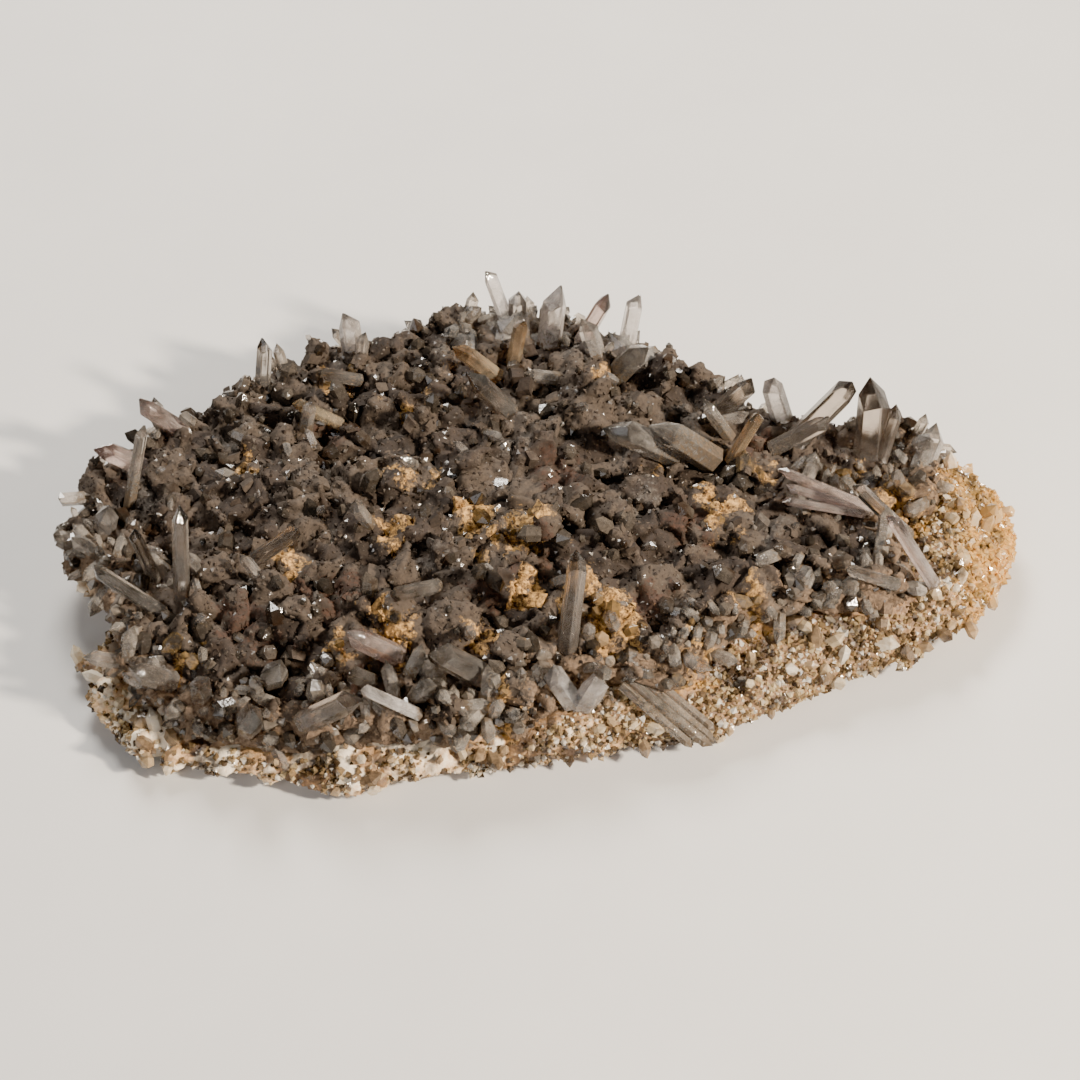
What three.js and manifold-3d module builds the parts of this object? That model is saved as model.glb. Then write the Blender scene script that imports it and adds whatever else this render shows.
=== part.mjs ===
// A hand specimen of dolomite pseudomorphs, 181 mm long.
// A slab of pale, granular quartz rock carries a dark brown crust. The crust is a crowd of
// saddle-shaped rhombs and lumps that were dolomite once and are iron and manganese oxide now.
// Clear and milky quartz crystals, six-sided with pointed ends, grow out of the crust.
// The slab stays bare along its front edge and at its right end, where blocky quartz lumps cover it.
//
// Millimetres, +Z up. The front edge faces -Y and the bare end faces +X. The origin is the centre
// of the specimen's box, on the surface it rests on.

import * as THREE from "three";
import { mergeVertices } from "three/addons/utils/BufferGeometryUtils.js";
import { ImprovedNoise } from "three/addons/math/ImprovedNoise.js";
import Module from "manifold-3d";

const wasm = await Module();
wasm.setup();

// Driving dimensions
const crustCrown = 21; // height of the crust's mean surface at the middle of the specimen
const crustThickness = 5.5;
const crustRings = 16; // rings of points from the crust's middle to its edge
const lumpRise = 3.6; // how far a crust lump of middling size stands above the hollows
const valleyDepth = 1.8; // the hollows between lumps, below the crust's mean surface
const slabLumpCount = 27; // blocky quartz lumps on the bare parts of the slab
const lumpInset = 0.015; // how far the outermost of these lumps are in from the slab's outline, as a share
const shoulderStart = 0.74; // where the slab's upper face starts to round over, as a share of its outline
const sideSteps = 44; // points round the slab
const baseShare = 0.62; // the flat base, as a share of the slab's outline
const frontEdgeHeight = 3.2; // height of the slab's widest line along the front
const backEdgeHeight = 8;
const skirtShare = 0.985; // the foot of the crust's side, as a share of its outline
const socketGap = 0.3; // clearance between a crystal and the rock round its root
const bedGap = 0.5; // clearance under the crust
const rootDepth = 2.4; // how far a crystal's root goes into the crust
const tipShare = 0.75; // a crystal's pointed end, as a share of its width
const crystalFlatness = 0.86; // a crystal's depth, as a share of its width
const tipShift = 0.22; // how far a crystal's tip is off its axis, as a share of its width
const shoulderStagger = 0.13; // how far every second corner of a crystal's shoulder is raised, likewise

// The slab seen from above, counter-clockwise from the tip of its bare end
const slabOutline = [
  [91, 5], [88, 15], [83, 22], [74, 27], [62, 26], [50, 28], [38, 34], [27, 42],
  [16, 48], [7, 54], [-8, 57], [-18, 55], [-29, 51], [-41, 48], [-54, 40], [-65, 35],
  [-75, 27], [-80, 19], [-84, 10], [-89, 4], [-89, -1], [-85, -8], [-77, -14], [-83, -25],
  [-82, -33], [-77, -39], [-60, -45], [-48, -47], [-36, -51], [-23, -47], [-11, -45], [0, -44],
  [14, -41], [32, -38], [47, -30], [67, -21], [78, -15], [87, -5],
];

// The crust seen from above. It hangs a little over the slab's back and left edges.
const crustOutline = [
  [78, 17], [78, 26], [75, 29], [62, 28], [50, 30], [38, 36], [27, 44], [16, 50],
  [7, 56], [-8, 59], [-18, 57], [-29, 53], [-41, 50], [-54, 42], [-65, 37], [-75, 29],
  [-81, 20], [-85, 11], [-90, 5], [-90, -1], [-85, -7], [-77, -13], [-78, -21], [-75, -28],
  [-70, -35], [-62, -40], [-53, -43], [-42, -45], [-33, -44], [-21, -44], [-12, -42], [0, -40],
  [6, -36], [12, -33], [18, -35], [26, -34], [31, -27], [39, -21], [47, -18], [62, -16],
  [70, -12], [68, -2], [71, 9],
];

// The quartz crystals that stand out of the crust. "at" is where a crystal leaves the crust,
// "lean" is its angle from upright, and "towards" is the way it leans, in degrees from +X to +Y.
// "sink" is how far below the crust's mean surface it starts, where it grows out of the bare slab.
// Crystals that grew through each other share one entry with several "points".
const quartzCrystals = [
  { name: "quartz_tall_centre", at: [5, -28], length: 19.5, width: 4.4, lean: 13, towards: 66 },
  { name: "quartz_tall_left", at: [-65, -15], length: 19.5, width: 3.7, lean: 10, towards: 67 },
  { name: "quartz_long_left", at: [-70, -18], length: 15.5, width: 3.2, lean: 39, towards: 184 },
  { name: "quartz_mid_left", at: [-71, -10], length: 11.5, width: 2.8, lean: 12, towards: 172 },
  { name: "quartz_prism_left", at: [-51, -8], length: 12.5, width: 3.7, lean: 42, towards: -10 },
  { name: "quartz_front_prism", at: [-40, -42], length: 12.5, width: 4.8, lean: 48, towards: -9 },
  { name: "quartz_front_white", at: [-23, -41], length: 11.5, width: 3, lean: 47, towards: 188 },
  { name: "quartz_stub_far_left", at: [-60, -36], length: 8.5, width: 5.2, lean: 29, towards: -75 },
  { name: "quartz_stub_left", at: [-51, -42], length: 8.5, width: 6, lean: 29, towards: -77 },
  { name: "quartz_grey_stub", at: [-47, -34], length: 8.5, width: 5.5, lean: 28, towards: -77 },
  { name: "quartz_block_front_left", at: [-67, -33], length: 8, width: 4.4, lean: 50, towards: 200 },
  {
    name: "quartz_milky_cluster",
    points: [
      { at: [5, -36], length: 10, width: 4.6, lean: 22, towards: 200, sink: 4 },
      { at: [8.5, -36.5], length: 9, width: 5, lean: 18, towards: -40, sink: 4 },
    ],
  },
  {
    name: "quartz_needle_bundle",
    points: [
      { at: [16.1, -35.2], length: 15, width: 2.3, lean: 122, towards: -28, sink: 4.5 },
      { at: [16.8, -33.8], length: 18, width: 2.2, lean: 121, towards: -27, sink: 4 },
      { at: [17.5, -32.5], length: 18, width: 2.3, lean: 120, towards: -28, sink: 4 },
      { at: [18.3, -31.2], length: 17, width: 2.2, lean: 118, towards: -29, sink: 4 },
    ],
  },
  { name: "quartz_grey_front", at: [-21, -38], length: 8, width: 4.4, lean: 30, towards: -60 },
  { name: "quartz_clear_front", at: [-31, -35], length: 8, width: 4.2, lean: 35, towards: -110 },
  { name: "quartz_front_centre", at: [-12, -34], length: 12.5, width: 5.3, lean: 38, towards: 202 },
  { name: "quartz_milky_front", at: [-27, -30], length: 11.5, width: 5.1, lean: 43, towards: 196 },
  { name: "quartz_blade_centre", at: [-20, -17], length: 10.5, width: 3.2, lean: 62, towards: 222 },
  { name: "quartz_prism_upper", at: [-7, 28], length: 12.5, width: 5.1, lean: 32, towards: 197 },
  { name: "quartz_amber_back", at: [-10, 38], length: 10.5, width: 4.3, lean: 38, towards: 193 },
  { name: "quartz_amber_upright", at: [-5, 42], length: 10.5, width: 3.2, lean: 9, towards: 8 },
  { name: "quartz_white_summit", at: [-7, 55], length: 11.5, width: 3.2, lean: 20, towards: 150 },
  { name: "quartz_milky_back", at: [2, 49], length: 11.5, width: 5.5, lean: 11, towards: 52 },
  { name: "quartz_pink_back", at: [9, 49], length: 11.5, width: 3.9, lean: 22, towards: -5 },
  { name: "quartz_white_back", at: [17, 46], length: 11.5, width: 3.7, lean: 18, towards: 60 },
  { name: "quartz_block_back", at: [16, 39], length: 9.5, width: 5.8, lean: 32, towards: -13 },
  {
    name: "quartz_coated_pair",
    points: [
      { at: [24, 17], length: 14.5, width: 5.8, lean: 56, towards: 185 },
      { at: [31, 16], length: 13.5, width: 6.2, lean: 49, towards: 180 },
    ],
  },
  { name: "quartz_lean_right", at: [36, 30], length: 9.5, width: 4.3, lean: 33, towards: -15 },
  { name: "quartz_striped_right", at: [35, 23], length: 8.5, width: 3.4, lean: 32, towards: 170 },
  { name: "quartz_amber_right", at: [37, 17], length: 12.5, width: 3.2, lean: 19, towards: -12 },
  { name: "quartz_bright_right", at: [46, 29], length: 10.5, width: 4.7, lean: 16, towards: 200 },
  {
    name: "quartz_large_right",
    points: [
      { at: [50, 23], length: 18.5, width: 5.6, lean: 29, towards: -11 },
      { at: [46, 20], length: 11.5, width: 3.7, lean: 51, towards: -2 },
    ],
  },
  {
    name: "quartz_upright_right",
    points: [
      { at: [63, 21], length: 16.5, width: 6.9, lean: 4, towards: 111 },
      { at: [65, 18.6], length: 12.5, width: 3.2, lean: 10, towards: 30 },
    ],
  },
  {
    name: "quartz_needle_fan",
    points: [
      { at: [59, 6], length: 16.5, width: 2.3, lean: 66, towards: 172 },
      { at: [60, 4.5], length: 15.5, width: 2.1, lean: 70, towards: 177 },
      { at: [58, 3.5], length: 14.5, width: 2, lean: 71, towards: 186 },
    ],
  },
  { name: "quartz_slanting_right", at: [67, 0], length: 14.5, width: 3, lean: 44, towards: 168 },
  { name: "quartz_edge_right", at: [71, -11], length: 16.5, width: 3, lean: 33, towards: 160 },
  { name: "quartz_blade_right", at: [63, -13], length: 10.5, width: 3.2, lean: 58, towards: 190 },
  { name: "quartz_pale_left", at: [-70, 27], length: 10.5, width: 3.9, lean: 40, towards: 190 },
  { name: "quartz_rim_left", at: [-77, 18], length: 9.5, width: 4.4, lean: 47, towards: 190 },
  { name: "quartz_brown_left", at: [-77, 9], length: 15.5, width: 3, lean: 26, towards: 60 },
  { name: "quartz_upright_back_left", at: [-54, 38], length: 9.5, width: 3.4, lean: 18, towards: 70 },
  { name: "quartz_leaning_back_left", at: [-37, 37], length: 8.5, width: 3.4, lean: 56, towards: 206 },
  { name: "quartz_amber_left", at: [-40, 26], length: 9.5, width: 3, lean: 50, towards: 188 },
  { name: "quartz_white_top_left", at: [-37, 47], length: 8.5, width: 4.8, lean: 8, towards: 120 },
];

const brownCrust = new THREE.MeshStandardMaterial({ color: 0x4a3a30, roughness: 0.85, metalness: 0 });
const paleRock = new THREE.MeshStandardMaterial({ color: 0xc9b08f, roughness: 0.7, metalness: 0 });
const clearQuartz = new THREE.MeshStandardMaterial({ color: 0xd9d4cc, roughness: 0.15, metalness: 0 });

const noise = new ImprovedNoise();

// A number in 0..1 that is always the same for the same count
function seeded(seed) {
  let count = seed;
  return () => THREE.MathUtils.seededRandom((count += 7919));
}

function between(random, low, high) {
  return low + (high - low) * random();
}

// Height of the crust's mean surface: a crown that falls away to the front and the ends
function crustHeight(x, y) {
  const front = Math.max(0, -5 - y);
  const back = Math.max(0, y - 30);
  return crustCrown - 0.0042 * front ** 2 - 0.002 * back ** 2 - 0.0009 * x ** 2;
}

// Height of the slab's upper face, which rises past the crust's edge at the bare end
function slabHeight(x, y) {
  return crustHeight(x, y) - crustThickness + 4 * THREE.MathUtils.smoothstep(x, 64, 80);
}

// Height of the slab's widest line
function slabEdgeHeight(y) {
  return THREE.MathUtils.lerp(frontEdgeHeight, backEdgeHeight, THREE.MathUtils.smoothstep(y, -45, 15));
}

// Evenly spaced points of a closed smooth curve through an outline
function pointsRound(outline, count) {
  const curve = new THREE.CatmullRomCurve3(
    outline.map(([x, y]) => new THREE.Vector3(x, y, 0)),
    true,
    "centripetal",
  );
  return curve.getSpacedPoints(count).slice(0, count);
}

// A closed solid from rings of points. Each ring is counter-clockwise from above, the lowest first.
function ringSolid(rings, bottomCentre, topCentre) {
  const count = rings[0].length;
  const points = [bottomCentre, ...rings.flat(), topCentre];
  const faces = [];
  for (let i = 0; i < count; i++) {
    const next = (i + 1) % count;
    faces.push(0, 1 + next, 1 + i);
    for (let ring = 0; ring < rings.length - 1; ring++) {
      const low = 1 + ring * count;
      const high = low + count;
      faces.push(low + i, low + next, high + i, low + next, high + next, high + i);
    }
    const last = 1 + (rings.length - 1) * count;
    faces.push(last + i, last + next, points.length - 1);
  }
  const geometry = new THREE.BufferGeometry();
  const places = points.flatMap((p) => [p.x, p.y, p.z]);
  geometry.setAttribute("position", new THREE.Float32BufferAttribute(places, 3));
  geometry.setIndex(faces);
  return geometry;
}

// A closed geometry as a solid for joining and cutting
function solidOf(geometry) {
  const bare = new THREE.BufferGeometry();
  bare.setAttribute("position", geometry.getAttribute("position"));
  bare.setIndex(geometry.getIndex());
  const merged = mergeVertices(bare, 1e-4);
  const corners = Array.from(merged.index.array);
  const faces = [];
  for (let i = 0; i < corners.length; i += 3) {
    const [a, b, c] = corners.slice(i, i + 3);
    if (a !== b && b !== c && c !== a) {
      faces.push(a, b, c);
    }
  }
  return new wasm.Manifold(
    new wasm.Mesh({
      numProp: 3,
      vertProperties: new Float32Array(merged.attributes.position.array),
      triVerts: new Uint32Array(faces),
    }),
  );
}

function geometryOf(solid) {
  const mesh = solid.getMesh();
  const geometry = new THREE.BufferGeometry();
  geometry.setAttribute("position", new THREE.BufferAttribute(mesh.vertProperties, 3));
  geometry.setIndex(new THREE.BufferAttribute(mesh.triVerts, 1));
  const faceted = geometry.toNonIndexed();
  faceted.computeVertexNormals();
  return faceted;
}

function joined(solids) {
  return solids.reduce((whole, solid) => whole.add(solid));
}

// A solid grows by the gap on every side, so that what is cut by it keeps clear
function slabSolid(gap) {
  const lowerRings = [
    { share: baseShare, lift: 0, growth: -gap },
    { share: 0.9, lift: 0.45, growth: -gap },
    { share: 1, lift: 1, growth: 0 },
  ];
  const upperRings = [0.975, 0.9, 0.76, 0.4];
  const outline = pointsRound(slabOutline, sideSteps);
  const place = (point, share, height, growth) => {
    const before = outline.at(outline.indexOf(point) - 1);
    const after = outline[(outline.indexOf(point) + 1) % sideSteps];
    const outward = new THREE.Vector3(after.y - before.y, before.x - after.x, 0).normalize();
    const rough = 1.6 * noise.noise(point.x * share * 0.11, point.y * share * 0.11, height * 0.3);
    const spot = point.clone().multiplyScalar(share).addScaledVector(outward, gap + rough);
    return spot.setZ(height + growth);
  };
  const lower = lowerRings.map(({ share, lift, growth }) =>
    outline.map((p) => place(p, share, lift * slabEdgeHeight(p.y), growth)),
  );
  const upper = upperRings.map((share) =>
    outline.map((p) => {
      const edge = slabEdgeHeight(p.y);
      const across = Math.max(0, (share - shoulderStart) / (1 - shoulderStart));
      const crown = slabHeight(p.x * share, p.y * share) - edge;
      const height = edge + crown * Math.sqrt(1 - across ** 2);
      const rough = 1.1 * noise.noise(p.x * share * 0.13, p.y * share * 0.13, 3.7);
      return place(p, share, height + rough, gap);
    }),
  );
  const top = new THREE.Vector3(0, 0, slabHeight(0, 0) + gap);
  return solidOf(ringSolid([...lower, ...upper], new THREE.Vector3(0, 0, -gap), top));
}

// Blocky quartz lumps along the bare front edge and the bare end of the slab, clear of the crust.
// They are large at the front left, and small towards the bare end.
function slabLumps(crust) {
  const random = seeded(11);
  const outline = pointsRound(slabOutline, 240);
  const lumps = [];
  while (lumps.length < slabLumpCount) {
    const edgePoint = outline[Math.floor(between(random, 0, outline.length))];
    const inward = 0.16 * random() ** 1.5 * (edgePoint.x > 60 ? 1.8 : 0.5);
    const coarse = 1 - THREE.MathUtils.smoothstep(edgePoint.x, -20, 30);
    const size = between(random, 1.3, 1.9) + coarse * between(random, 0.2, 1.4);
    const tumble = new THREE.Euler(between(random, 0, 6.3), between(random, 0, 6.3), 0);
    const stretch = [between(random, 1, 1.5), between(random, 0.8, 1.1), between(random, 0.8, 1.1)];
    if (edgePoint.y > 14 && edgePoint.x < 76) {
      continue;
    }
    const place = edgePoint.clone().multiplyScalar(1 - lumpInset - inward);
    const rise = slabHeight(place.x, place.y) - slabEdgeHeight(edgePoint.y);
    const across = Math.max(0, (1 - inward - shoulderStart) / (1 - shoulderStart));
    const height = slabEdgeHeight(edgePoint.y) + rise * Math.sqrt(1 - across ** 2) - 0.3 * size;
    place.setZ(Math.max(height, size * 1.5));
    const blocky = (radius) => {
      const lump = new THREE.IcosahedronGeometry(radius, 0);
      lump.scale(...stretch);
      lump.applyMatrix4(new THREE.Matrix4().makeRotationFromEuler(tumble));
      lump.translate(place.x, place.y, place.z);
      return solidOf(lump);
    };
    if (crust.intersect(blocky(size + 2 * socketGap)).isEmpty()) {
      lumps.push(blocky(size));
    }
  }
  return lumps;
}

// The lumps of the crust that are grown together side by side
function crustSwellings() {
  const random = seeded(5);
  const swellings = [];
  for (let attempt = 0; attempt < 6000; attempt++) {
    const swelling = {
      x: between(random, -92, 80),
      y: between(random, -48, 60),
      radius: between(random, 3.4, 6.4),
      rise: lumpRise * between(random, 0.6, 1.35),
      tiltX: between(random, -0.35, 0.35),
      tiltY: between(random, -0.35, 0.35),
    };
    const centre = new THREE.Vector3(swelling.x, swelling.y, crustHeight(swelling.x, swelling.y));
    if (buriesCrystal(centre, 2.4)) {
      swelling.rise *= 0.5;
    }
    const spacing = (other) => Math.hypot(other.x - swelling.x, other.y - swelling.y);
    if (swellings.every((other) => spacing(other) > 0.82 * (other.radius + swelling.radius))) {
      swellings.push(swelling);
    }
  }
  return swellings;
}

// Height of the crust's lumpy surface
function lumpyHeight(swellings, x, y) {
  const rises = swellings.map((swelling) => {
    const dx = (x - swelling.x) / swelling.radius;
    const dy = (y - swelling.y) / swelling.radius;
    const away = dx ** 2 + dy ** 2;
    const tilt = 1 + swelling.tiltX * dx + swelling.tiltY * dy;
    return away < 1 ? swelling.rise * Math.sqrt(1 - away) * tilt : 0;
  });
  return crustHeight(x, y) - valleyDepth + Math.max(...rises) + 1.6 * noise.noise(x * 0.07, y * 0.07, 8.2);
}

// The crust's body: rings of points from the middle to the edge, and a skirt that reaches into the slab
function crustBody() {
  const swellings = crustSwellings();
  const points = [new THREE.Vector3(0, 0, lumpyHeight(swellings, 0, 0))];
  const faces = [];
  const ringStart = (ring) => (ring === 0 ? 0 : 1 + 3 * ring * (ring - 1));
  const inRing = (ring, i) => ringStart(ring) + (ring === 0 ? 0 : i % (6 * ring));
  for (let ring = 1; ring <= crustRings; ring++) {
    const share = ring / crustRings;
    const atEdge = ring === crustRings;
    for (const p of pointsRound(crustOutline, 6 * ring)) {
      const shift = atEdge ? 0.8 : 1.1;
      const x = p.x * share + shift * noise.noise(p.x * 0.6, p.y * 0.6, share * 9);
      const y = p.y * share + shift * noise.noise(p.x * 0.6, p.y * 0.6, share * 9 + 40);
      const edgeFall = atEdge ? 3 : 0;
      points.push(new THREE.Vector3(x, y, lumpyHeight(swellings, x, y) - edgeFall));
    }
    for (let side = 0; side < 6; side++) {
      for (let i = 0; i < ring; i++) {
        const outer = side * ring + i;
        const inner = side * (ring - 1) + i;
        faces.push(inRing(ring, outer), inRing(ring, outer + 1), inRing(ring - 1, inner));
        if (i < ring - 1) {
          faces.push(inRing(ring, outer + 1), inRing(ring - 1, inner + 1), inRing(ring - 1, inner));
        }
      }
    }
  }
  const edgeCount = 6 * crustRings;
  const skirtStart = points.length;
  for (let i = 0; i < edgeCount; i++) {
    const p = points[inRing(crustRings, i)];
    const overhangs = p.y > 10 || p.x < -76;
    const low = overhangs ? backEdgeHeight : slabHeight(p.x, p.y) - 2.5;
    points.push(new THREE.Vector3(p.x * skirtShare, p.y * skirtShare, Math.min(low, p.z - 1)));
  }
  points.push(new THREE.Vector3(0, 0, backEdgeHeight));
  for (let i = 0; i < edgeCount; i++) {
    const next = (i + 1) % edgeCount;
    const edge = inRing(crustRings, i);
    const edgeNext = inRing(crustRings, next);
    faces.push(skirtStart + i, skirtStart + next, edge, skirtStart + next, edgeNext, edge);
    faces.push(skirtStart + next, skirtStart + i, points.length - 1);
  }
  const geometry = new THREE.BufferGeometry();
  const places = points.flatMap((p) => [p.x, p.y, p.z]);
  geometry.setAttribute("position", new THREE.Float32BufferAttribute(places, 3));
  geometry.setIndex(faces);
  return solidOf(geometry);
}

// A dolomite rhomb: a cube pulled out along its diagonal's square section and bent like a saddle
function saddleRhomb(size, faceSteps, bend) {
  const rhomb = new THREE.BoxGeometry(size, size, size, faceSteps, faceSteps, faceSteps);
  const lean = 0.28;
  const shear = new THREE.Matrix4().set(1, lean, lean, 0, lean, 1, lean, 0, lean, lean, 1, 0, 0, 0, 0, 1);
  rhomb.applyMatrix4(shear);
  const place = rhomb.getAttribute("position");
  for (let i = 0; i < place.count; i++) {
    const x = place.getX(i) / size;
    const y = place.getY(i) / size;
    place.setZ(i, place.getZ(i) + bend * size * (x * x - y * y));
  }
  return rhomb;
}

// A lump of grown-together rhombs, too rounded to show their faces
function roundLump(size) {
  const lump = new THREE.IcosahedronGeometry(size * 0.62, 0);
  const place = lump.getAttribute("position");
  for (let i = 0; i < place.count; i++) {
    const [x, y, z] = [place.getX(i), place.getY(i), place.getZ(i)];
    const swell = 1 + 0.3 * noise.noise(x * 0.5, y * 0.5, z * 0.5 + size);
    place.setXYZ(i, x * swell, y * swell, z * swell);
  }
  return lump;
}

function pointsOf(crystal) {
  return crystal.points ?? [crystal];
}

// A crystal's line from its root to its tip
function crystalLine(point) {
  const [x, y] = point.at;
  const lean = THREE.MathUtils.degToRad(point.lean);
  const towards = THREE.MathUtils.degToRad(point.towards);
  const foot = new THREE.Vector3(x, y, crustHeight(x, y) - (point.sink ?? 0));
  const along = new THREE.Vector3(
    Math.sin(lean) * Math.cos(towards),
    Math.sin(lean) * Math.sin(towards),
    Math.cos(lean),
  );
  return { foot, along, tip: foot.clone().addScaledVector(along, point.length) };
}

// Whether a lump would bury one of the quartz crystals
function buriesCrystal(centre, radius) {
  return quartzCrystals.some((crystal) =>
    pointsOf(crystal).some((point) => {
      const { foot, tip } = crystalLine(point);
      const nearest = new THREE.Line3(foot, tip).closestPointToPoint(centre, true, new THREE.Vector3());
      return nearest.distanceTo(centre) < radius * 0.95 + point.width * 0.5;
    }),
  );
}

// The saddle rhombs and lumps that make up the crust's surface, the largest first
function crustLumps() {
  const sizeRanges = [
    { count: 28, low: 7, high: 10.5, spacing: 0.9 },
    { count: 4, low: 4.5, high: 6.5, spacing: 0.9 },
  ];
  const random = seeded(29);
  const rim = pointsRound(crustOutline, 360);
  const shape = new THREE.Shape(rim.map((p) => new THREE.Vector2(p.x, p.y)));
  const rimPath = shape.getPoints();
  const placed = [];
  const solids = [];
  for (const { count, low, high, spacing } of sizeRanges) {
    let left = count;
    for (let attempt = 0; attempt < 4000 && left > 0; attempt++) {
      const size = between(random, low, high);
      const x = between(random, -92, 80);
      const y = between(random, -46, 60);
      const sink = between(random, 0.05, 0.3);
      const turns = [between(random, 0, 6.3), between(random, 0, 6.3), between(random, 0, 6.3)];
      const stretch = between(random, 0.8, 1.2);
      const asRhomb = random() < 0.6;
      const centre = new THREE.Vector3(x, y, crustHeight(x, y) - sink * size);
      const reach = (other) => spacing * 0.5 * (other.size + size);
      const crowded = placed.some((other) => other.centre.distanceTo(centre) < reach(other));
      if (crowded || !insideOutline(rimPath, x, y) || buriesCrystal(centre, size * 0.55)) {
        continue;
      }
      const lump = asRhomb ? saddleRhomb(size * 0.72, 1, 0.22) : roundLump(size);
      lump.scale(1, stretch, 2 - stretch);
      lump.applyMatrix4(new THREE.Matrix4().makeRotationFromEuler(new THREE.Euler(...turns)));
      lump.translate(centre.x, centre.y, centre.z);
      placed.push({ centre, size });
      solids.push(solidOf(lump));
      left--;
    }
  }
  return solids;
}

function insideOutline(path, x, y) {
  let inside = false;
  path.forEach((a, i) => {
    const b = path[(i + 1) % path.length];
    if (a.y > y !== b.y > y && x < ((b.x - a.x) * (y - a.y)) / (b.y - a.y) + a.x) {
      inside = !inside;
    }
  });
  return inside;
}

// One quartz crystal in its place: a six-sided prism whose pointed end is a little lopsided
function quartzPoint(point, gap) {
  const radius = point.width / 2 + gap;
  const shoulder = point.length - point.width * tipShare;
  const profile = [
    new THREE.Vector2(0, -rootDepth - gap),
    new THREE.Vector2(radius, -rootDepth - gap),
    new THREE.Vector2(radius * 0.94, shoulder),
    new THREE.Vector2(0, point.length + gap),
  ];
  const crystal = new THREE.LatheGeometry(profile, 6);
  crystal.rotateX(Math.PI / 2);
  const place = crystal.getAttribute("position");
  for (let i = 0; i < place.count; i++) {
    const [x, y, z] = [place.getX(i), place.getY(i), place.getZ(i)];
    if (z > point.length - 0.01) {
      place.setX(i, x + tipShift * point.width);
    } else if (z > 0) {
      const around = Math.atan2(y, x);
      place.setZ(i, z + shoulderStagger * point.width * Math.sin(3 * around));
    }
  }
  crystal.scale(1, crystalFlatness, 1);
  crystal.rotateZ(point.at[0] + point.at[1]);
  const { foot, along } = crystalLine(point);
  crystal.applyQuaternion(new THREE.Quaternion().setFromUnitVectors(new THREE.Vector3(0, 0, 1), along));
  crystal.translate(foot.x, foot.y, foot.z);
  return solidOf(crystal);
}

function quartzSolid(crystal, gap) {
  return joined(pointsOf(crystal).map((point) => quartzPoint(point, gap)));
}

// The largest of a solid's separate bodies, without the crumbs that a cut leaves
function mainBody(solid) {
  return solid.decompose().reduce((largest, body) => (body.volume() > largest.volume() ? body : largest));
}

function namedMesh(name, solid, material) {
  const mesh = new THREE.Mesh(geometryOf(solid), material);
  mesh.name = name;
  return mesh;
}

const sockets = joined(quartzCrystals.map((crystal) => quartzSolid(crystal, socketGap)));
const crustSolids = joined([crustBody(), ...crustLumps()]);
const crust = mainBody(crustSolids.subtract(slabSolid(bedGap)).subtract(sockets));
const slab = mainBody(joined([slabSolid(0), ...slabLumps(crust)]).subtract(sockets));

const specimen = new THREE.Group();
specimen.add(namedMesh("quartz_rock_slab", slab, paleRock));
specimen.add(namedMesh("pseudomorph_crust", crust, brownCrust));
for (const crystal of quartzCrystals) {
  specimen.add(namedMesh(crystal.name, quartzSolid(crystal, 0), clearQuartz));
}

const reach = new THREE.Box3().setFromObject(specimen);
const middle = reach.getCenter(new THREE.Vector3());
specimen.position.set(-middle.x, -middle.y, -reach.min.z);

export default specimen;
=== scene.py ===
"""Looks of a dolomite pseudomorph specimen: a dark, lumpy oxide crust with quartz points on a slab of
pale quartz rock. Metres, in the row frame: +X towards the bare end, +Y towards the high back edge, +Z up."""

import math

import bmesh
import bpy
import numpy as np
from mathutils import Euler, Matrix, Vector
from mathutils.bvhtree import BVHTree
from mathutils.kdtree import KDTree


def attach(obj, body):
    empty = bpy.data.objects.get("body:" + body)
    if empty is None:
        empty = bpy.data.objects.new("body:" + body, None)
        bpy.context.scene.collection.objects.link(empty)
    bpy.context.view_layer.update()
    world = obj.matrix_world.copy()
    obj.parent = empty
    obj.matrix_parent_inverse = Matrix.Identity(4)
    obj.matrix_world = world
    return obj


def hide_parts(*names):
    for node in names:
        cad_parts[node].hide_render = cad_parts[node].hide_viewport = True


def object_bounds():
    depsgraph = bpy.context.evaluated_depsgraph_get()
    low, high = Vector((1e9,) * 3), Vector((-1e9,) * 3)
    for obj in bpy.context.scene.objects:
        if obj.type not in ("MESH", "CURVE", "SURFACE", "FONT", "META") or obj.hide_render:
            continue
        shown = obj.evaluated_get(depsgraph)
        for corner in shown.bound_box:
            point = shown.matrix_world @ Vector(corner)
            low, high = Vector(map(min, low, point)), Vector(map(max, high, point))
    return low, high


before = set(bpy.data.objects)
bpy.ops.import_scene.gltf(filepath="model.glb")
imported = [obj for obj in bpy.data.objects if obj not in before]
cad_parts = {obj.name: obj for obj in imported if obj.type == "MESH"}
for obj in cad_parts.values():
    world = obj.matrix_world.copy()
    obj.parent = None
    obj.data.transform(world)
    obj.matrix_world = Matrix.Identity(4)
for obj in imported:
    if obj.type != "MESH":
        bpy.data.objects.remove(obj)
CAD_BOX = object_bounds()

bl_info = {
    "name": "Dolomite pseudomorph specimen",
    "version": (1, 0, 0),
    "blender": (4, 5, 0),
    "location": "3D View > Sidebar > Specimen",
    "description": "Oxide crust, rock slab, quartz points and the stage of a mineral specimen",
    "category": "Object",
}

MM = 0.001
UP = Vector((0, 0, 1))
SLAB_NODE = "quartz_rock_slab"
CRUST_NODE = "pseudomorph_crust"
QUARTZ_NODES = sorted(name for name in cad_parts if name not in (SLAB_NODE, CRUST_NODE))
QUARTZ_IOR = 1.544
GROWTH_LINES_PER_METRE = 9000.0
# A small quartz point has two rings of six vertices and a tip, at about these shares of its length.
POINT_SHARES = [0.0] * 6 + [0.7] * 6 + [1.0]
POINT_VERTICES = len(POINT_SHARES)

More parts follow.
